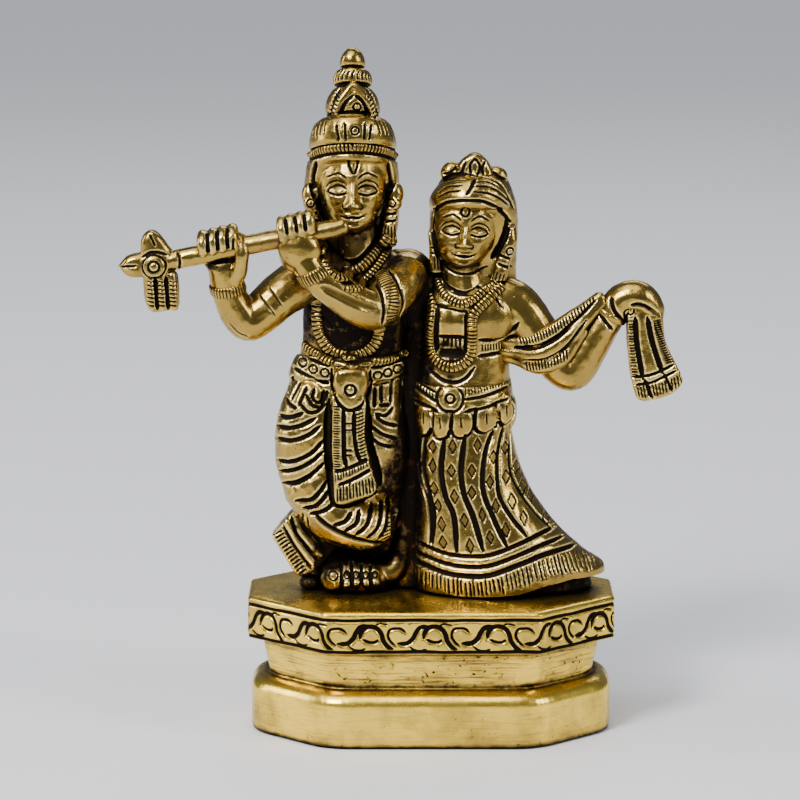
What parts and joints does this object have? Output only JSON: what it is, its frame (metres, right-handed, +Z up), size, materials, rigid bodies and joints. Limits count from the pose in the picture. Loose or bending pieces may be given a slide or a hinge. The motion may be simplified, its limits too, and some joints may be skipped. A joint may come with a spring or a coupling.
{
  "type": "figurine statue",
  "caption": "Cast-brass flute player and consort standing together on an eight-sided waisted plinth, antique finish.",
  "frame": {"origin": "centre of the plinth's flat underside", "axes": "+Z up, the figures face -Y, +X is the side of the consort's raised arm (the picture's right)"},
  "size_m": [0.1219, 0.048, 0.1499],
  "materials": {
    "figure_brass": "antique: polished on the high points, dark oxide in the recesses",
    "plinth_brass": "antique: brushed faces, dark oxide in the cut lines"
  },
  "bodies": {
    "root": {"figure_group": "figure_brass", "plinth": "plinth_brass"}
  },
  "joints": []
}
